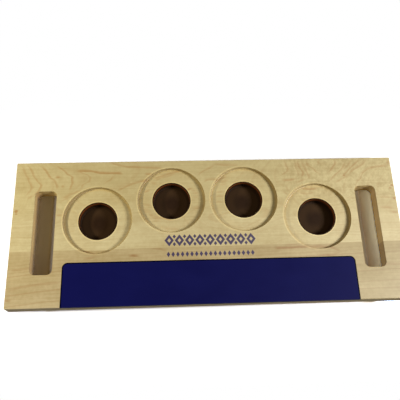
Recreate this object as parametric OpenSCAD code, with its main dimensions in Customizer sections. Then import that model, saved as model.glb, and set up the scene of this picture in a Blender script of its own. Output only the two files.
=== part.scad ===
// Tasting flight board. Two edge-glued maple staves carry four round glass seats set on an arc,
// with a lined well in the middle of each seat, a hand slot through each end and a navy panel
// let into the front edge. Millimetres, +Z up, origin at the middle of the underside.

/* [Board] */
// Length of the board, end to end
board_l = 457; // [446:1:600]
// Width of the board, front edge to rear edge
board_w = 172; // [166:1:240]
// Thickness of the board
board_t = 19; // [16:0.5:32]
// Small flat planed on the board's outer edges
edge_ease = 0.5; // [0.2:0.1:1.5]
// Small flat on the rims of the seats and hand slots
rim_ease = 0.4; // [0.2:0.1:1]
// Width of the front stave at the left end
stave_left = 63.3; // [56:0.1:80]
// Width of the front stave at the right end
stave_right = 66.2; // [56:0.1:80]

/* [Glass seats] */
// Diameter of each seat at its rim
seat_d = 80; // [60:1:84]
// Depth of each seat below the top face
seat_depth = 4.8; // [3:0.2:8]
// Radius of the small cove between a seat's wall and its floor
cove_r = 1; // [0.5:0.5:6]
// Spacing of the seats along the board
seat_pitch = 86.7; // [83:0.1:90]
// Radius of the arc that the seats' centres lie on
seat_arc_r = 340; // [270:5:2000]
// Distance from the rear edge to the crown of that arc
seat_setback = 47; // [41:1:55]

/* [Wells] */
// Diameter of the well bored in the middle of each seat
well_d = 46; // [30:1:66]
// Wood left under each well
well_web = 2.2; // [1.6:0.1:6]
// Wall thickness of the well's liner
liner_wall = 1.2; // [0.8:0.1:3]
// Floor thickness of the well's liner
liner_floor = 1.2; // [0.8:0.1:3]
// Radius inside the liner, where its wall meets its floor
liner_fillet = 1.5; // [0.5:0.1:4]
// Clearance all round between a liner and its well
liner_gap = 0.1; // [0.05:0.05:0.3]
// Drop of the liner's rim below the seat's floor
liner_drop = 0.2; // [0.1:0.1:1]

/* [Hand slots] */
// Length of each hand slot, front to back
slot_l = 99; // [80:1:130]
// Width of each hand slot
slot_w = 25; // [20:1:28]
// Radius of a hand slot's corners
slot_r = 6; // [3:0.5:10]
// Wood left between a hand slot and the end of the board
slot_margin = 24.6; // [15:0.1:27]

/* [Front panel] */
// Length of the navy panel, left to right
panel_l = 335.7; // [200:0.1:352]
// Width of the navy panel, from the board's front edge
panel_w = 49.4; // [30:0.1:56]
// Thickness of the navy panel, which lies flush in its pocket
panel_t = 4.8; // [2:0.1:10]
// Radius of the panel's two rear corners
panel_r = 6; // [3:0.5:20]
// Clearance between the panel's edges and its pocket
panel_gap = 0.2; // [0.1:0.05:0.5]

/* [Hidden] */
$fn = 96;
seat_count = 4;
// How far a cutter runs past the face that it cuts through
over = 1;
rim_flare = rim_ease + over;
front_y = -board_w / 2;
seat_floor = board_t - seat_depth;
liner_h = seat_floor - liner_drop - well_web;
slot_x = board_l / 2 - slot_margin - slot_w / 2;
maple_rear = [0.83, 0.76, 0.58];
maple_front = [0.78, 0.70, 0.52];
navy = [0.09, 0.10, 0.30];
dark_brown = [0.18, 0.13, 0.09];

// Centre of a seat, counted from 1 at the left, with the outer seats forward on the arc
function seat_x(i) = (i - (seat_count + 1) / 2) * seat_pitch;
function seat_y(i) =
    board_w / 2 - seat_setback - seat_arc_r + sqrt(pow(seat_arc_r, 2) - pow(seat_x(i), 2));

// Rectangle about the origin with its four corners planed off by the ease
module eased_rect(l, w) {
    x = l / 2;
    y = w / 2;
    polygon([
        [edge_ease - x, -y], [x - edge_ease, -y],
        [x, edge_ease - y], [x, y - edge_ease],
        [x - edge_ease, y], [edge_ease - x, y],
        [-x, y - edge_ease], [-x, edge_ease - y]
    ]);
}

// Rectangle about the origin with four round corners
module rounded_rect(l, w, r) {
    square([l - 2 * r, w], center = true);
    square([l, w - 2 * r], center = true);
    for (side = [-1, 1], end = [-1, 1])
        translate([side * (l / 2 - r), end * (w / 2 - r)])
            circle(r);
}

// Cutter standing on its floor at z = 0, with a straight wall and a cove round the floor
module coved_cutter(r, depth, cove) {
    bend = min(cove, depth);
    rotate_extrude() {
        square([r - bend, depth + over]);
        translate([0, bend])
            square([r, depth - bend + over]);
        intersection() {
            translate([r - bend, bend])
                circle(bend);
            square([r, bend]);
        }
    }
}

// Panel's outline, square at the front and round at the rear, grown by a clearance
module panel_outline(grow, front) {
    half = panel_l / 2 + grow;
    rear = front_y + panel_w + grow;
    r = panel_r + grow;
    translate([-half, front])
        square([2 * half, rear - r - front]);
    translate([r - half, front])
        square([2 * (half - r), rear - front]);
    for (side = [-1, 1])
        translate([side * (half - r), rear - r])
            circle(r);
}

module board_blank() {
    intersection() {
        translate([0, 0, board_t / 2])
            rotate([90, 0, 0])
                linear_extrude(board_w, center = true)
                    eased_rect(board_l, board_t);
        translate([0, 0, board_t / 2])
            rotate([90, 0, 90])
                linear_extrude(board_l, center = true)
                    eased_rect(board_w, board_t);
        linear_extrude(board_t)
            eased_rect(board_l, board_w);
    }
}

module seats_and_wells() {
    for (i = [1 : seat_count])
        translate([seat_x(i), seat_y(i), 0]) {
            translate([0, 0, seat_floor])
                coved_cutter(seat_d / 2, seat_depth, cove_r);
            translate([0, 0, board_t - rim_ease])
                cylinder(h = rim_flare, r1 = seat_d / 2, r2 = seat_d / 2 + rim_flare);
            translate([0, 0, well_web])
                cylinder(h = board_t - well_web, d = well_d);
        }
}

// Section across a flare, as wide as the slot at the bottom and opening at 45 degrees
module flare_section(w) {
    polygon([
        [-w / 2, 0], [w / 2, 0],
        [w / 2 + rim_flare, rim_flare], [-w / 2 - rim_flare, rim_flare]
    ]);
}

// Cutter that takes the edge off a hand slot's rim, standing on z = 0
module slot_flare() {
    straight_w = slot_w - 2 * slot_r;
    straight_l = slot_l - 2 * slot_r;
    rotate([90, 0, 0])
        linear_extrude(straight_l, center = true)
            flare_section(slot_w);
    rotate([90, 0, 90])
        linear_extrude(straight_w, center = true)
            flare_section(slot_l);
    for (side = [-1, 1], end = [-1, 1])
        translate([side * straight_w / 2, end * straight_l / 2, 0])
            cylinder(h = rim_flare, r1 = slot_r, r2 = slot_r + rim_flare);
}

module hand_slots() {
    for (side = [-1, 1])
        translate([side * slot_x, 0, 0]) {
            translate([0, 0, -over])
                linear_extrude(board_t + 2 * over)
                    rounded_rect(slot_w, slot_l, slot_r);
            translate([0, 0, board_t - rim_ease])
                slot_flare();
            translate([0, 0, rim_ease])
                rotate([180, 0, 0])
                    slot_flare();
        }
}

module panel_pocket() {
    translate([0, 0, board_t - panel_t])
        linear_extrude(panel_t + over)
            panel_outline(panel_gap, front_y - over);
}

// One stave: the blank on one side of the seam, with every cut that the glued board has
module stave(edge_y) {
    half = board_l / 2;
    seam_left_y = front_y + stave_left;
    seam_right_y = front_y + stave_right;
    difference() {
        intersection() {
            board_blank();
            linear_extrude(board_t)
                polygon([
                    [-half, seam_left_y], [half, seam_right_y],
                    [half, edge_y], [-half, edge_y]
                ]);
        }
        seats_and_wells();
        hand_slots();
        panel_pocket();
    }
}

module rear_stave() {
    color(maple_rear)
        stave(board_w / 2);
}

module front_stave() {
    color(maple_front)
        stave(front_y);
}

module front_panel() {
    color(navy)
        translate([0, 0, board_t - panel_t])
            linear_extrude(panel_t)
                panel_outline(0, front_y);
}

// Thin cup that drops into a well and closes its wall and floor
module well_liner(i) {
    outer_r = well_d / 2 - liner_gap;
    color(dark_brown)
        translate([seat_x(i), seat_y(i), well_web])
            difference() {
                cylinder(h = liner_h, r = outer_r);
                translate([0, 0, liner_floor])
                    coved_cutter(outer_r - liner_wall, liner_h - liner_floor, liner_fillet);
            }
}

rear_stave();
front_stave();
front_panel();
well_liner(1);  // well_liner_1
well_liner(2);  // well_liner_2
well_liner(3);  // well_liner_3
well_liner(4);  // well_liner_4
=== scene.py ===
"""Looks of the tasting flight board: two maple staves, a navy panel and four dark lined wells.

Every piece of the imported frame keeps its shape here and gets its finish. Lengths in the finishes
are millimetres in the row frame, and those of the floor, lamps and camera are metres.
"""
from math import radians

import bpy
import numpy as np
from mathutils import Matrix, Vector


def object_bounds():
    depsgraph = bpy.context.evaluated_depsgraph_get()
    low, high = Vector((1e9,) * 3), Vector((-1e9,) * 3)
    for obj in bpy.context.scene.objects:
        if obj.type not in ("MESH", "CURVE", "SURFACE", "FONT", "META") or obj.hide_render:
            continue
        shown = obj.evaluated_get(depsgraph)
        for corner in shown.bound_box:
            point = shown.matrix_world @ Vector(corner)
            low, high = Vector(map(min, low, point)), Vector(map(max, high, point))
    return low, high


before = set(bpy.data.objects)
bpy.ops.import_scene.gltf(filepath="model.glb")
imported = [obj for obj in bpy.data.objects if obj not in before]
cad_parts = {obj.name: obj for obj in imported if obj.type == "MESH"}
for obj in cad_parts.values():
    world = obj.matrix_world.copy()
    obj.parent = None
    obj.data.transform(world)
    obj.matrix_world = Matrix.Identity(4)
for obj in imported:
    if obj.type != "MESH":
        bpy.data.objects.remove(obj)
cad_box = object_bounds()

# Half the board's length and width, and the height of its top face
HALF_LENGTH, HALF_WIDTH, TOP = 228.5, 86.0, 19.0
# Middles of the two seats right of the board's middle; those on its left mirror them
SEAT_MIDDLES = ((43.35, 36.22), (130.05, 13.14))
SEAT_PITCH, SEAT_RADIUS, SEAT_FLOOR = 86.7, 40.0, 14.2
WELL_RADIUS = 23.0


def linear(red, green, blue):
    """Screen colour out of 255 as scene-linear RGBA: ((c + 0.055) / 1.055) ^ 2.4 above the toe."""
    shares = [c / 255 for c in (red, green, blue)]
    return tuple(c / 12.92 if c <= 0.04045 else ((c + 0.055) / 1.055) ** 2.4 for c in shares) + (1,)


# ---------------------------------------------------------------- shader maths

class Wire:
    """A node's output. Sums, products and powers of wires and numbers add Math nodes."""

    def __init__(self, shop, socket):
        self.shop = shop
        self.socket = socket

    def math(self, operation, *values, clamp=False):
        settings = {"operation": operation, "use_clamp": clamp}
        return self.shop.add("ShaderNodeMath", settings, values)

    def __add__(self, other):
        return self.math("ADD", self, other)

    def __sub__(self, other):
        return self.math("SUBTRACT", self, other)

    def __rsub__(self, other):
        return self.math("SUBTRACT", other, self)

    def __mul__(self, other):
        return self.math("MULTIPLY", self, other)

    def __truediv__(self, other):
        return self.math("DIVIDE", self, other)

    def __rtruediv__(self, other):
        return self.math("DIVIDE", other, self)

    def __pow__(self, other):
        return self.math("POWER", self, other)

    def __abs__(self):
        return self.math("ABSOLUTE", self)

    __radd__ = __add__
    __rmul__ = __mul__

    def most(self, other):
        return self.math("MAXIMUM", self, other)

    def least(self, other):
        return self.math("MINIMUM", self, other)

    def root(self):
        return self.math("SQRT", self)

    def floor(self):
        return self.math("FLOOR", self)

    def fraction(self):
        return self.math("FRACT", self)

    def clamped(self):
        return self.math("ADD", self, 0, clamp=True)

    def step(self, low, high):
        """0 up to low and 1 from high, with a smooth step between, falling where low > high."""
        settings = {"interpolation_type": "SMOOTHSTEP"}
        inputs = {"Value": self, "From Min": low, "From Max": high}
        return self.shop.add("ShaderNodeMapRange", settings, inputs)


class Finish:
    """The node tree of a material or of the world, with one method that adds any node."""

    def __init__(self, owner):
        owner.use_nodes = True
        self.owner = owner
        self.tree = owner.node_tree
        self.tree.nodes.clear()

    def add(self, kind, settings=None, inputs=(), out=0):
        """Adds a node, makes its settings and then fills its sockets with wires or values.

        The setting named points is a curve's points, in order and joined by straight lines.
        """
        node = self.tree.nodes.new(kind)
        for key, value in (settings or {}).items():
            if key == "points":
                curve = node.mapping.curves[0]
                for place in value[1:-1]:
                    curve.points.new(*place)
                for point, place in zip(curve.points, value):
                    point.location = place
                    point.handle_type = "VECTOR"
                node.mapping.update()
            else:
                setattr(node, key, value)
        named = inputs.items() if isinstance(inputs, dict) else enumerate(inputs)
        for key, value in named:
            if isinstance(value, Wire):
                self.tree.links.new(value.socket, node.inputs[key])
            else:
                node.inputs[key].default_value = value
        if isinstance(out, tuple):
            return [Wire(self, node.outputs[name]) for name in out]
        return Wire(self, node.outputs[out])

    def place(self):
        """The point of the surface in the row frame, in millimetres, as a vector wire."""
        metres = self.add("ShaderNodeTexCoord", out="Object")
        return self.scaled(metres, (1000, 1000, 1000))

    def facing(self):
        """The three parts of the direction that the surface faces."""
        return self.split(self.add("ShaderNodeTexCoord", out="Normal"))

    def scaled(self, vector, factors):
        return self.add("ShaderNodeVectorMath", {"operation": "MULTIPLY"}, (vector, factors))

    def moved(self, vector, by):
        return self.add("ShaderNodeVectorMath", {"operation": "ADD"}, (vector, by))

    def split(self, vector):
        return self.add("ShaderNodeSeparateXYZ", None, (vector,), out=("X", "Y", "Z"))

    def join(self, x, y, z):
        return self.add("ShaderNodeCombineXYZ", None, (x, y, z))

    def noise(self, vector, sizes, detail=2.0, roughness=0.5, seed=0.0):
        """Noise from 0 to 1 about 0.5, with features of the given sizes in millimetres."""
        shrunk = self.scaled(vector, tuple(1 / s for s in sizes))
        shifted = self.moved(shrunk, (seed, 1.7 * seed, 2.3 * seed))
        values = {"Vector": shifted, "Scale": 1.0, "Detail": detail, "Roughness": roughness}
        return self.add("ShaderNodeTexNoise", None, values)

    def curve(self, share, places, low, high):
        """Value of a curve through (place, value) pairs, where share is 0 at low and 1 at high."""
        points = [((place - low) / (high - low), value) for place, value in places]
        return self.add("ShaderNodeFloatCurve", {"points": points}, {"Value": share})

    def mixed(self, amount, first, second):
        """Colour from first at 0 to second at 1."""
        settings = {"data_type": "RGBA"}
        return self.add("ShaderNodeMix", settings, {0: amount, 6: first, 7: second}, out=2)

    def tinted(self, amount, colour, tint):
        """Colour multiplied by the tint, in full where amount is 1."""
        settings = {"data_type": "RGBA", "blend_type": "MULTIPLY"}
        return self.add("ShaderNodeMix", settings, {0: amount, 6: colour, 7: tint}, out=2)

    def bump(self, height, distance, strength):
        """Normal from a height wire of 0 to 1 that stands for distance metres."""
        inputs = {"Height": height, "Distance": distance, "Strength": strength}
        return self.add("ShaderNodeBump", None, inputs)

    def surface(self, colour, roughness, normal, **constants):
        """Ends the tree in a Principled shader, with its other sockets named in constants."""
        inputs = {"Base Color": colour, "Roughness": roughness, "Normal": normal}
        for name, value in constants.items():
            inputs[name.replace("_", " ")] = value
        return self.ended(self.add("ShaderNodeBsdfPrincipled", None, inputs))

    def blend(self, amount, first, second):
        """Shader from first at 0 to second at 1."""
        return self.add("ShaderNodeMixShader", None, {0: amount, 1: first, 2: second})

    def ended(self, shader, kind="ShaderNodeOutputMaterial"):
        end = self.tree.nodes.new(kind)
        self.tree.links.new(shader.socket, end.inputs[0])
        return self.owner


# ---------------------------------------------------------------- printed ornament

# Middle of the ornament along the board, and each row's place across it, pitch and half length
ORNAMENT_X = 0.8
ROW_Y, ROW_PITCH, ROW_HALF = -13.4, 11.9, 53.5
BEAD_Y, BEAD_PITCH, BEAD_HALF = -29.7, 5.4, 51.3
INK = linear(44, 32, 84)
INK_COVER = 0.94


def ornament(x, y, z):
    """Mask of the printed ornament on the top face: a row of hollow lozenges over a row of beads.

    A lozenge is where |x| / a + |y| / b is under 1 about its cell's middle, less a smaller one.
    """
    from_middle = x - ORNAMENT_X

    def cell(pitch, shift):
        return abs(((from_middle / pitch + shift).fraction() - 0.5) * pitch)

    def lozenge(beside, above, a, b):
        return beside / a + above / b

    up = abs(y - ROW_Y)
    reach = lozenge(cell(ROW_PITCH, 0.5), up, 5.4, 6.9)
    hollow = reach.step(1.05, 0.96) * reach.step(0.33, 0.43)
    small = lozenge(cell(ROW_PITCH, 0.0), abs(up - 4.5), 1.9, 2.4).step(1.15, 0.9)
    small = small * abs(from_middle).step(ROW_HALF - 1.7, ROW_HALF - 2.1)
    row = hollow * abs(from_middle).step(ROW_HALF + 0.3, ROW_HALF - 0.3) + small
    beads = lozenge(cell(BEAD_PITCH, 0.5), abs(y - BEAD_Y), 2.0, 3.1).step(1.15, 0.9)
    beads = beads * abs(from_middle).step(BEAD_HALF + 0.3, BEAD_HALF - 0.3)
    return (row + beads).clamped() * z.step(TOP - 0.4, TOP - 0.1) * INK_COVER


# ---------------------------------------------------------------- wood

# Range of the curves along and across the board, a little past its ends
LOW, HIGH = -230, 230
# Width of a bold growth line on its steep and on its slow side
STEEP_SIDE, SLOW_SIDE = 1.4, 3.2
# Least gap along a layer from one line's end to the next, and the fade at both ends of a line
LINE_GAP, LINE_FADE = 6, 5


def sorted_lines(lines):
    """Growth lines in layers, those along x first: within a layer, one line ends before the next.

    A line runs along x where it is longer that way and never turns back, and along y otherwise.
    """
    layers = ([], [])
    for strength, points in sorted(lines, key=lambda line: min(line[1])):
        spans = [abs(points[0][axis] - points[-1][axis]) for axis in (0, 1)]
        turns = [len({a[axis] < b[axis] for a, b in zip(points, points[1:])}) for axis in (0, 1)]
        axis = 0 if turns[0] == 1 and (spans[0] >= spans[1] or turns[1] > 1) else 1
        places = sorted((point[axis], point[1 - axis]) for point in points)
        first, last = places[0][0], places[-1][0]
        for layer in layers[axis]:
            if all(first > other[-1][0] + LINE_GAP or last < other[0][0] - LINE_GAP
                   for _, other in layer):
                layer.append((strength, places))
                break
        else:
            layers[axis].append([(strength, places)])
    return layers


def grain_layer(shop, along, across, layer):
    """Mask of the growth lines of one layer, from one curve for their place and one for strength.

    A line is darkest on its path, and falls off steeply on one side and slowly on the other.
    """
    path, dark = [], []
    for strength, places in sorted(layer, key=lambda line: line[1][0]):
        path += [(place, (value - LOW) / (HIGH - LOW)) for place, value in places]
        first, last = places[0][0], places[-1][0]
        fade = min(LINE_FADE, (last - first) / 3)
        dark += [(first, 0), (first + fade, strength), (last - fade, strength), (last, 0)]
    share = (along - LOW) / (HIGH - LOW)
    place = shop.curve(share, path, LOW, HIGH)
    strength = shop.curve(share, dark, LOW, HIGH)
    side = across - (place * (HIGH - LOW) + LOW)
    return side.step(-STEEP_SIDE, 0) * side.step(SLOW_SIDE, 0) * strength * 0.92


def grain_lines(shop, x, y, lines, spots):
    """Mask of all the bold growth lines, and of small dark spots as (x, y, radius, strength)."""
    along_x, along_y = sorted_lines(lines)
    masks = [grain_layer(shop, x, y, layer) for layer in along_x]
    masks += [grain_layer(shop, y, x, layer) for layer in along_y]
    for spot_x, spot_y, radius, strength in spots:
        beside, above = (x - spot_x) / (radius * 1.4), (y - spot_y) / radius
        masks.append((beside * beside + above * above).step(1.0, 0.1) * strength)
    drawn = masks[0]
    for mask in masks[1:]:
        drawn = drawn.most(mask)
    return drawn


def growth_rings(shop, across):
    """Thin late-wood lines where across passes a whole number, each of its own strength."""
    settings, inputs = {"noise_dimensions": "1D"}, {"W": across.floor()}
    strength = shop.add("ShaderNodeTexWhiteNoise", settings, inputs, out="Value")
    part = across.fraction()
    return part.step(0.4, 0.95) * part.step(1.0, 0.93) * (strength * strength * 0.85 + 0.15)


def from_seat(x, y):
    """Distance to the middle of the nearest seat. The board's two halves are alike."""
    inner, outer = (
        ((abs(x) - seat_x) ** 2 + (y - seat_y) ** 2).root() for seat_x, seat_y in SEAT_MIDDLES
    )
    return inner.least(outer)


# Tints of the wood: whiter sapwood, darker heartwood and end grain; then painted light and shade:
# a painted highlight on the rims, painted shade on the lip and foot of a seat's wall, darker and
# warmer painted shade in the hollows, and painted shade at the foot of a hand slot's wall
SAP_TINT = (1.08, 1.10, 1.20, 1)
HEART_TINT = (0.84, 0.83, 0.72, 1)
END_GRAIN_TINT = (0.80, 0.72, 0.60, 1)
PAINTED_RIM_HIGHLIGHT = (1.28, 1.26, 1.22, 1)
PAINTED_SEAT_WALL_SHADE = (0.72, 0.70, 0.66, 1)
PAINTED_HOLLOW_SHADE = (0.98, 0.91, 0.75, 1)
PAINTED_SLOT_FOOT_SHADE = (0.45, 0.38, 0.25, 1)


def end_grain_and_painted_light(shop, colour, x, y, z):
    """Tints end grain and paints light and shade where the wood was cut, and gives its colour and
    a mask of its upright surfaces.

    Every mask is a band of distance from the seats' middles, of height, or of the facing. A
    seat's rim gets a painted highlight, palest on its left, and its wall painted shade on its left
    and rear, most along the lip and the foot. The hollows get a darker, warmer painted shade, and
    the foot of a hand slot's wall a painted shade.
    """
    facing_x, facing_y, facing_z = shop.facing()
    end_grain = abs(facing_x).step(0.35, 1.0)
    upright = abs(facing_z).step(0.97, 0.72)
    colour = shop.tinted(end_grain, colour, END_GRAIN_TINT)

    reach = from_seat(x, y)
    above_floor = z.step(SEAT_FLOOR - 0.4, SEAT_FLOOR - 0.1)
    # Painted highlight: a paler ring round each well's mouth and each seat's rim, palest on a
    # seat's left
    well_rim_highlight = reach.step(WELL_RADIUS + 1.6, WELL_RADIUS + 0.6) * above_floor
    seat_rim_highlight = reach.step(SEAT_RADIUS + 0.2, SEAT_RADIUS + 0.5)
    seat_rim_highlight = seat_rim_highlight * reach.step(SEAT_RADIUS + 2.2, SEAT_RADIUS + 1.6)
    highlight_to_left = ((x / SEAT_PITCH).fraction() - 0.5).step(0.25, -0.35) * 0.65 + 0.15
    colour = shop.tinted(well_rim_highlight + seat_rim_highlight * highlight_to_left, colour, PAINTED_RIM_HIGHLIGHT)

    # Painted shade on the left and rear of each seat's wall, most along its lip and its foot
    wall = reach.step(SEAT_RADIUS - 1.3, SEAT_RADIUS - 0.9)
    wall = wall * reach.step(SEAT_RADIUS + 0.6, SEAT_RADIUS + 0.4) * above_floor
    lip, wall_foot = z.step(16.5, 18.3), z.step(15.5, 15.0)
    painted_wall_shade = wall * (lip.most(wall_foot) * 0.5 + 0.5) * (facing_x - facing_y).step(0, 0.6)
    colour = shop.tinted(painted_wall_shade, colour, PAINTED_SEAT_WALL_SHADE)

    # Painted shade, darker and warmer, on upright faces inside the board and on a seat's floor next
    # to its wall
    inside = abs(x).step(HALF_LENGTH - 0.3, HALF_LENGTH - 1.0)
    inside = inside * abs(y).step(HALF_WIDTH - 0.3, HALF_WIDTH - 1.0)
    inside = inside * z.step(TOP - 0.4, TOP - 0.7)
    floor_edge = reach.step(SEAT_RADIUS - 3.5, SEAT_RADIUS - 1)
    floor_edge = floor_edge * reach.step(SEAT_RADIUS + 0.3, SEAT_RADIUS)
    colour = shop.tinted(inside * upright.most(floor_edge), colour, PAINTED_HOLLOW_SHADE)

    # Painted shade at the foot of a hand slot's end-grain walls
    at_ends = abs(x).step(165, 170)
    painted_slot_foot_shade = (z * (1 - facing_x * 0.6)).step(5.2, 1.2) * inside * at_ends
    return shop.tinted(painted_slot_foot_shade * end_grain, colour, PAINTED_SLOT_FOOT_SHADE), upright


def maple(name, pale, deep, brown, lines, spots, rings, ring_depth, seed, sap=None, heart=None):
    """Plain-sawn maple under satin lacquer, with the printed ornament.

    rings(shop, x, y, z) gives the growth-ring number at a point. Lines are the bold growth lines
    as (strength, points), and spots are (x, y, radius, strength). The wood turns to whiter
    sapwood between the two places across the board in sap, and darker between the two places
    along it in heart. It is curliest behind the right-hand seat.
    """
    shop = Finish(bpy.data.materials.new(name))
    here = shop.place()
    waver = shop.noise(here, (34, 20, 20), 2.0, seed=seed)
    ripple = shop.noise(here, (7, 3.5, 5), 1.0, seed=seed + 3)
    x, y, z = shop.split(here)
    bent_x = x + (ripple - 0.5) * 2.2
    bent_y = y + (waver - 0.5) * 3.0 + (ripple - 0.5) * 1.2
    bent = shop.join(x, bent_y, z)

    ring_lines = growth_rings(shop, rings(shop, bent_x, bent_y, z))
    fibre = shop.noise(bent, (38, 0.8, 0.8), 3.0, 0.6, seed=seed + 7)
    streak = shop.noise(bent, (150, 2.4, 2.4), 2.0, 0.55, seed=seed + 11)
    cloud = shop.noise(bent, (60, 24, 24), 2.0, seed=seed + 17)
    curl = shop.noise(bent, (5, 6, 6), 2.0, 0.65, seed=seed + 19)
    fleck = shop.noise(bent, (3.2, 0.6, 0.6), 1.0, 0.5, seed=seed + 23)
    curly = x.step(70, 115) * y.step(22, 48) * 1.6 + 0.8
    tone = (fibre - 0.5) * 0.8 + (streak - 0.5) * 0.65 + (cloud - 0.5) * 1.2
    tone = tone + (curl - 0.5) * curly

    colour = shop.mixed((tone + 0.5).clamped(), pale, deep)
    colour = shop.mixed(ring_lines * ring_depth, colour, brown)
    colour = shop.mixed(fleck.step(0.66, 0.8) * 0.22, colour, brown)
    if sap:
        colour = shop.tinted(y.step(*sap), colour, SAP_TINT)
    if heart:
        colour = shop.tinted(x.step(*heart), colour, HEART_TINT)
    drawn = grain_lines(shop, bent_x, bent_y, lines, spots)
    colour = shop.mixed(drawn * (fibre * 0.9 + 0.25), colour, brown)
    colour, upright = end_grain_and_painted_light(shop, colour, x, y, z)
    colour = shop.mixed(ornament(x, y, z), colour, INK)
    rough = 0.52 + (fibre - 0.5) * 0.14 + upright * 0.3
    normal = shop.bump(fibre * 0.7 + ring_lines * 0.3, 0.00005, 0.5)
    return shop.surface(colour, rough, normal, IOR=1.62, Specular_IOR_Level=1.0)


# Places of the rear stave's pith along the board: across it, and its depth under the top face
PITH_Y = [(-228, 55), (-180, 56), (-150, 65), (-120, 70), (-80, 76), (-40, 74), (0, 56),
          (40, 50), (90, 66), (105, 58), (138, 45), (180, 44), (228, 45)]
PITH_DEPTH = [(-228, 5), (-215, 28), (-203, 40), (-190, 47), (-178, 51), (-153, 55), (-128, 57),
              (-100, 59), (-60, 65), (-20, 66), (20, 61), (60, 50), (92, 40), (105, 51),
              (115, 61), (125, 67), (138, 70), (150, 68), (170, 60), (190, 51), (210, 42),
              (228, 34)]
# Value that stands at the top of both curves
PITH_MOST = 80


def rear_rings(shop, x, y, z):
    """Ring number of the rear stave: the distance from a pith that rises and sinks on its way.

    Where its depth changes the rings cross the face as nested points, and where it doesn't, and
    near the front, as lines along the board.
    """
    share = (x - LOW) / (HIGH - LOW)

    def pith(table):
        shares = [(place, value / PITH_MOST) for place, value in table]
        return shop.curve(share, shares, LOW, HIGH) * PITH_MOST

    rise = y - pith(PITH_Y)
    down = (pith(PITH_DEPTH) + (TOP - z) * 0.8) * y.step(-10, 45)
    return (rise * rise + down * down).root() / 3.1


def front_rings(shop, x, y, z):
    """Ring number of the front stave: straight rings that climb a little to the right.

    They climb more at the left end.
    """
    return (y - x * 0.03 - (x + 150).least(0) * 0.07 + z * 0.5) / 4.1


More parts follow.
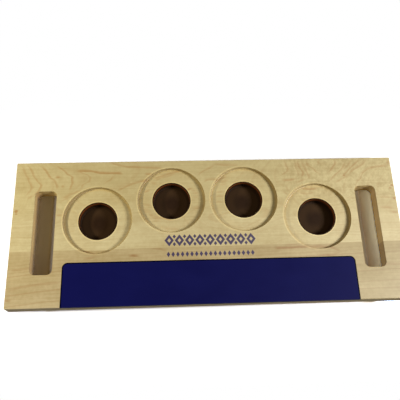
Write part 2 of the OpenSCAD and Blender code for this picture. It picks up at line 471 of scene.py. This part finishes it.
# Bold growth lines on the top face: strength and points, in millimetres
REAR_LINES = [
    (0.50, [(-222, 84), (-220.4, 77), (-214.5, 66), (-212.6, 61), (-208.5, 55), (-211, 50),
            (-216.3, 42.5)]),
    (0.60, [(-217, 85), (-211.7, 77), (-206.7, 67), (-202.6, 62.5), (-198, 57), (-201, 50),
            (-208, 42)]),
    (0.60, [(-200, 84), (-192.6, 73.4), (-190, 69.3), (-184.5, 64.3), (-180, 57), (-179.5, 50)]),
    (0.70, [(-182, 83), (-178, 79.3), (-172.2, 74.3), (-169, 71.5), (-162.4, 66.5), (-161.7, 58),
            (-165, 49)]),
    (0.50, [(-159, 79), (-152.6, 72.5), (-147.2, 70.2), (-140.5, 67), (-141.7, 60.6), (-149, 57.5),
            (-151.7, 50)]),
    (0.95, [(-158, 74.5), (-141.7, 73.4), (-133.5, 72.3), (-126.3, 70.8), (-117.2, 70.6),
            (-101, 70.0)]),
    (0.50, [(-113, 69.0), (-115, 63.4), (-120, 60.6), (-124, 57.5)]),
    (0.55, [(-109, 48), (-101.7, 51.1), (-94.5, 55.2), (-87.2, 58), (-74, 61), (-68, 63)]),
    (0.60, [(-118, 85), (-113.5, 83.4), (-106.3, 81), (-97, 78.8), (-80, 77.4), (-54, 75.9)]),
    (0.85, [(-182, 67), (-179, 66.4), (-175.5, 66.4)]),
    (0.70, [(-175, 54.4), (-171, 54.2)]),
    (0.45, [(-174, 39.5), (-165.4, 42.5), (-156.3, 47), (-150, 49.5)]),
    (0.35, [(-176, 35), (-170.8, 37.5), (-161.7, 41.5)]),
    (0.45, [(-214, 39), (-205.4, 45.2)]),
    (0.65, [(-178, 19.6), (-170.5, 19.2)]),
    (0.70, [(-76, 68.6), (-66, 69.3)]),
    (0.45, [(-64, 61.5), (-55.6, 65.3), (-47.8, 67), (-38, 70.8)]),
    (1.00, [(-25.5, 48.0), (-22.0, 50.2), (-18.0, 51.0)]),
    (0.60, [(-66, 64.2), (-54.8, 67.6), (-46.4, 70.1), (-38, 72.9), (-30, 74.3)]),
    (0.70, [(-77, 47.2), (-68, 50.0)]),
    (0.40, [(-69, 60), (-60, 56.8)]),
    (0.60, [(-67.4, 17.3), (-57.9, 15.4), (-41.8, 12.0)]),
    (0.40, [(-71, 20.2), (-63.3, 16.2)]),
    (0.50, [(-19, 44.4), (-9, 45.2)]),
    (0.40, [(-20, 39.8), (-10, 40.1)]),
    (0.40, [(-19.5, 26.0), (-8, 26.9)]),
    (0.45, [(-78, 31.5), (-67, 30.2)]),
    (0.40, [(-78, 24.1), (-66, 22.5)]),
    (0.35, [(-56, 2.8), (-33, 0.9)]),
    (0.60, [(8, 58), (14.7, 61.2), (19, 63.7), (26, 65.3)]),
    (0.45, [(12, 60.8), (17.4, 58.5), (24, 59)]),
    (0.50, [(9, 45.2), (21, 46.4)]),
    (0.45, [(9, 40.2), (21, 41)]),
    (0.35, [(8, 34), (19.5, 32.1)]),
    (0.35, [(-21, 48.6), (-12, 47.6)]),
    (0.50, [(-12, 65), (-4.4, 71.4), (2.2, 74.8), (11.1, 79.6)]),
    (0.50, [(9, 80), (22.2, 78.7), (40, 78)]),
    (0.55, [(-6, 57), (1, 60.2), (7, 60.9), (14, 60.0)]),
    (0.40, [(15, 59.6), (27, 60.4)]),
    (0.40, [(14, 54.6), (26, 55.9)]),
    (0.35, [(-80, 26.8), (-66.7, 24.8)]),
    (0.45, [(-69, 15.9), (-60, 14.6), (-52, 13.3)]),
    (0.40, [(-66, 11.2), (-55, 12.0)]),
    (0.35, [(-19, 24.8), (-6, 26.2)]),
    (0.55, [(96, 85), (97.3, 78.8), (99.5, 74.3), (99.0, 70.6), (93.6, 67), (90.5, 64.3),
            (79, 62)]),
    (0.90, [(90, 58.2), (96, 57.7), (101.4, 57.9), (109, 59.3)]),
    (0.50, [(109, 84), (109.5, 73.4), (111.4, 68.8), (112.3, 62.4)]),
    (0.75, [(112, 85), (112.6, 78.8), (114.5, 74.3), (117.3, 69.7), (117.7, 65.2), (114.5, 61)]),
    (0.55, [(117, 84), (120.5, 74.3), (123.2, 66.1), (124.5, 60.6), (121, 57.5)]),
    (0.70, [(123, 84), (124.5, 77), (126.8, 75.2), (131.4, 72.5), (134.1, 67.9), (139.5, 63.5)]),
    (0.55, [(138.4, 85), (139.2, 77.5)]),
    (0.75, [(159.5, 85), (158.6, 78), (155, 74.3), (152.3, 69.7), (146.5, 66)]),
    (0.60, [(173, 82), (168.6, 75.2), (164.5, 69.7), (159.5, 66.1), (154, 61.5), (148.5, 55)]),
    (0.55, [(180, 85), (176, 78), (171.4, 73.4), (165, 68)]),
    (0.70, [(192, 85), (184, 78), (176.8, 71.5), (171.4, 66), (165, 61)]),
    (0.60, [(200, 84), (193.2, 77), (188.6, 74.3), (179.5, 68.8), (174, 64)]),
    (0.60, [(225, 74), (215, 73.8), (206, 72.5), (198.6, 70.6), (194, 67), (190.5, 63.4),
            (189, 58.8), (184, 55.2), (181, 51)]),
    (0.45, [(155, 53), (166.8, 58.8), (176, 64.5)]),
    (0.60, [(108, 53.8), (116, 57.5), (122, 58.6)]),
    (0.40, [(91.5, 44), (97, 38.5)]),
    (0.40, [(94.5, 51), (98.5, 43.5)]),
    (0.85, [(114.5, 48.6), (119, 47.5), (126, 47), (131, 47.6), (136, 48.8)]),
    (0.40, [(109, 44.4), (120.5, 40.8), (131, 42.8)]),
    (0.60, [(225.8, 85), (224.6, 73)]),
    (0.45, [(206, 34.3), (224, 33.4)]),
    (0.50, [(205, 21.5), (224, 19.7)]),
    (0.55, [(219, 15.2), (228, 14.8)]),
    (0.40, [(170.5, 33.6), (180, 33)]),
]

FRONT_LINES = [
    (0.55, [(-151, -22.5), (-143, -24.4), (-132.6, -27), (-129.5, -30.5)]),
    (0.50, [(-130, -30.2), (-136, -32.6), (-145, -33.2)]),
    (1.00, [(-94, -31), (-87, -31.2), (-80.5, -31.8)]),
    (0.95, [(74, -25.9), (90, -26.1), (103, -25.1), (116, -25.4)]),
    (0.50, [(88, -22.6), (98, -21.6), (112, -21.0)]),
    (0.60, [(112, -24.9), (131, -23.4), (142.3, -26.2), (152.5, -31.2)]),
    (0.55, [(153, -31.6), (142, -34.6), (124, -35.8)]),
    (0.90, [(132, -35), (141, -35.4)]),
    (0.45, [(-70, -21.8), (-55.6, -24.1), (-49, -27)]),
    (0.30, [(-228, -66.3), (-200, -61.6), (-168, -59.4)]),
    (0.80, [(-229, -77.4), (-222, -77.6)]),
    (0.40, [(182, -50), (205, -47.6), (228, -48.2)]),
    (0.35, [(-226, -44), (-205, -42.6), (-176, -40.4)]),
]

REAR_SPOTS = [
    (-22.6, 49.8, 1.2, 0.8), (16.0, 61.5, 3.0, 0.35),
    (-224.5, 25.8, 2.0, 1.0), (-224.2, 22.6, 1.4, 0.8), (168.5, 63.0, 1.5, 0.9),
    (225.9, 49.7, 1.8, 1.0), (223.6, 46.2, 1.6, 0.8), (226.0, 32.6, 1.8, 1.0),
]
FRONT_SPOTS = [(-87.0, -31.4, 0.9, 0.7)]


# ---------------------------------------------------------------- panel and liners

PANEL_HALF, PANEL_REAR, PANEL_CORNER = 167.85, -36.6, 6.0


def navy_panel():
    """Satin navy sheet with faint clouding, a fine orange-peel surface and painted shade along its
    edge.

    The edge is the outline of a rectangle with round rear corners: the distance inside it is the
    corner radius less the reach past the corner's middle.
    """
    shop = Finish(bpy.data.materials.new("navy_panel"))
    here = shop.place()
    cloud = shop.noise(here, (38, 24, 24), 2.0, seed=4)
    grit = shop.noise(here, (0.8, 0.8, 0.8), 2.0, seed=9)
    mottle = (cloud * 0.7 + grit * 0.3).clamped()
    colour = shop.mixed(mottle, linear(14, 15, 66), linear(19, 21, 80))
    x, y, _ = shop.split(here)
    beside = abs(x) - (PANEL_HALF - PANEL_CORNER)
    above = y - (PANEL_REAR - PANEL_CORNER)
    past = (beside.most(0) ** 2 + above.most(0) ** 2).root() + beside.most(above).least(0)
    # Painted shade: darker within about a millimetre of the panel's edge
    colour = shop.mixed((past - PANEL_CORNER).step(-1.5, -0.8), colour, linear(2, 2, 20))
    rough = 0.5 + (cloud - 0.5) * 0.1
    return shop.surface(colour, rough, shop.bump(grit, 0.00005, 0.4), Specular_IOR_Level=0.10)


def dark_liner():
    """Matte dark brown cup with a fine mottle, a painted ring of light on its floor, and a redder
    upper wall lightened with painted light.
    """
    shop = Finish(bpy.data.materials.new("dark_liner"))
    here = shop.place()
    cloud = shop.noise(here, (9, 9, 9), 2.0, seed=5)
    grit = shop.noise(here, (0.7, 0.7, 0.7), 2.0, seed=8)
    mottle = (cloud * 0.6 + grit * 0.4).clamped()
    colour = shop.mixed(mottle, linear(34, 20, 9), linear(50, 33, 18))
    x, y, height = shop.split(here)
    upright = abs(shop.facing()[2]).step(0.9, 0.4)
    on_floor = height.step(7.5, 5) * (1 - upright)
    reach = from_seat(x, y)
    # Painted light: a paler ring on the floor where the wall's shade falls
    ring = reach.step(4, 15) * reach.step(21.5, 17.5)
    colour = shop.mixed(ring * on_floor * 0.62, colour, linear(70, 50, 29))
    # Redder upper wall, its lighter tone painted light
    colour = shop.mixed(height.step(6, 13) * upright, colour, linear(124, 66, 26))
    return shop.surface(colour, 0.66, shop.bump(grit, 0.00006, 0.4), Specular_IOR_Level=0.12)


finishes = {
    "rear_stave": maple(
        "maple_rear", linear(212, 195, 138), linear(185, 163, 106), linear(168, 112, 42),
        REAR_LINES, REAR_SPOTS, rear_rings, 0.16, 2.0, sap=(38, 4),
    ),
    "front_stave": maple(
        "maple_front", linear(204, 183, 132), linear(174, 151, 98), linear(150, 96, 38),
        FRONT_LINES, FRONT_SPOTS, front_rings, 0.36, 31.0, sap=(-52, -74), heart=(110, 190),
    ),
    "front_panel": navy_panel(),
    **dict.fromkeys([f"well_liner_{i}" for i in range(1, 5)], dark_liner()),
}
for node, finish in finishes.items():
    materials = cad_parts[node].data.materials
    materials.clear()
    materials.append(finish)


# ---------------------------------------------------------------- stage, lamps and camera

WHITE = (1, 1, 1, 1)
FLOOR_HALF, FLOOR_DROP = 6.0, 0.0002
# Floor's colours: what it throws back at the board, next to the board, and under the board at
# tone 4, warm and cool
FLOOR_BOUNCE, FLOOR_NEAR = (0.33, 0.33, 0.33), (1.3, 1.3, 1.3)
FLOOR_WARM, FLOOR_COOL = (4.58, 3.71, 2.27), (3.2, 4.05, 6.0)
# Painted light and shade of the floor under the board, as a tone out of 4, and its hue from warm
# at 0 to cool at 1, along x
CURVE_HALF, TONE_MOST = 0.24, 4.0
FLOOR_LIGHT_AND_SHADE = [(-0.24, 0.6), (-0.2045, 1.0), (-0.2, 0.8), (-0.195, 0.74), (-0.1875, 0.72),
              (-0.1862, 0.52), (-0.1848, 0.3), (-0.182, 0.3), (-0.17, 0.6), (0.17, 1.1),
              (0.1855, 0.31), (0.187, 0.3), (0.1882, 0.46), (0.1906, 1.12), (0.1943, 1.58),
              (0.198, 2.1), (0.2005, 2.7), (0.2025, 3.4), (0.21, 3.4), (0.24, 1.1)]
FLOOR_HUE = [(-0.24, 0.5), (-0.188, 0.5), (-0.1862, 0.25), (-0.18, 0.25), (-0.17, 0.5),
             (0.17, 0.5), (0.185, 0.0), (0.1875, 0.1), (0.1906, 0.45), (0.1956, 0.8),
             (0.2006, 1.0), (0.21, 1.0), (0.24, 0.5)]


def flat_floor():
    """Square floor just under the board.

    The camera sees it turn plain white away from the board, by the distance from the board's
    outline. Under the board its colour is painted light and shade: tone and hue follow two curves
    along x, as the hand slots show them, with painted light towards the front of the right slot.
    The light from below passes to the underside.
    """
    corners = np.array([(-1, -1), (1, -1), (1, 1), (-1, 1)], float) * FLOOR_HALF
    mesh = bpy.data.meshes.new("floor")
    mesh.from_pydata([(x, y, -FLOOR_DROP) for x, y in corners], [], [(0, 1, 2, 3)])
    floor = bpy.data.objects.new("floor", mesh)
    bpy.context.scene.collection.objects.link(floor)
    shop = Finish(bpy.data.materials.new("pale_floor"))
    looked_at, shading = shop.add("ShaderNodeLightPath", out=("Is Camera Ray", "Is Shadow Ray"))
    back = shop.add("ShaderNodeNewGeometry", out="Backfacing")
    x, y, _ = shop.split(shop.add("ShaderNodeTexCoord", out="Object"))
    beside = (abs(x) - cad_box[1][0]).most(0)
    above = (abs(y) - cad_box[1][1]).most(0)
    reach = (beside * beside + above * above).root()
    share = (x + CURVE_HALF) / (2 * CURVE_HALF)

    def flat(colour):
        return shop.add("ShaderNodeBsdfDiffuse", None, {"Color": (*colour, 1)})

    def along(places, most):
        shares = [(place, value / most) for place, value in places]
        return shop.curve(share, shares, -CURVE_HALF, CURVE_HALF)

    hue = shop.blend(along(FLOOR_HUE, 1.0), flat(FLOOR_WARM), flat(FLOOR_COOL))
    # Painted light and shade under the board, with more painted light towards the front of the
    # right slot
    painted_right_front_light = x.step(0, 0.1) * y.step(0.01, -0.045) * y.step(-0.08, -0.055)
    tone = along(FLOOR_LIGHT_AND_SHADE, TONE_MOST) * (painted_right_front_light * 0.24 + 1)
    under = shop.blend(tone, flat((0, 0, 0)), hue)
    near = shop.blend(reach.step(0, 0.002), under, flat(FLOOR_NEAR))
    plain = shop.add("ShaderNodeEmission", None, {"Color": WHITE, "Strength": 1.0})
    shown = shop.blend(reach.step(0.01, 0.09), near, plain)
    top = shop.blend(looked_at, flat(FLOOR_BOUNCE), shown)
    clear = shop.add("ShaderNodeBsdfTransparent")
    see_through = back.most(shading * reach.step(0.0001, 0))
    mesh.materials.append(shop.ended(shop.blend(see_through, top, clear)))


def white_world(level, tint):
    """White surroundings: plain white where the camera looks, and a faint warm light."""
    world = bpy.data.worlds.new("studio")
    bpy.context.scene.world = world
    shop = Finish(world)
    seen, through = shop.add("ShaderNodeLightPath", out=("Is Camera Ray", "Is Transmission Ray"))
    light = shop.add("ShaderNodeBackground", None, {"Color": tint, "Strength": level})
    plain = shop.add("ShaderNodeBackground", None, {"Color": WHITE, "Strength": 1.0})
    shop.ended(shop.blend(seen.most(through), light, plain), "ShaderNodeOutputWorld")


def softbox(name, at, aim, size, spread, power, colour=(1, 1, 1), in_gloss=True):
    """Area lamp at a point, turned to aim at another, in metres, degrees and watts."""
    lamp = bpy.data.lights.new(name, "AREA")
    lamp.shape = "RECTANGLE"
    lamp.size, lamp.size_y = size
    lamp.spread = radians(spread)
    lamp.energy = power
    lamp.color = colour
    holder = bpy.data.objects.new(name, lamp)
    bpy.context.scene.collection.objects.link(holder)
    holder.location = at
    back = Vector(at) - Vector(aim)
    holder.rotation_euler = back.to_track_quat("Z", "Y").to_euler()
    holder.visible_glossy = in_gloss


flat_floor()
white_world(0.05, (1.0, 0.74, 0.42, 1))
softbox("right_softbox", (0.80, -0.14, 0.60), (0.1, 0.0, 0.0), (0.28, 0.28), 70, 1.64)
softbox("left_softbox", (-0.90, -0.05, 0.645), (-0.5, 0.0, 0.0), (0.30, 0.14), 70, 2.36,
        in_gloss=False)
softbox("under_softbox", (0.0, 0.10, -0.80), (0.0, 0.0, 0.0), (0.60, 0.40), 180, 3.6,
        colour=(1.0, 0.86, 0.62))

# The camera fitted to the board: the picture's side, the focal length and the row where the
# optical axis meets it, in pixels
PICTURE, FOCAL, AXIS_ROW = 400, 583.88, 149.82
camera = bpy.data.cameras.new("camera")
camera.sensor_width = 36
camera.lens = FOCAL / PICTURE * camera.sensor_width
camera.shift_y = (AXIS_ROW - PICTURE / 2) / PICTURE
camera.clip_start = 0.01
viewer = bpy.data.objects.new("camera", camera)
viewer.location = (-0.04429, -0.18440, 0.68160)
viewer.rotation_euler = (0.40666, -0.04124, -0.03425)
bpy.context.scene.collection.objects.link(viewer)
bpy.context.scene.camera = viewer

bpy.context.scene.view_settings.view_transform = "Standard"
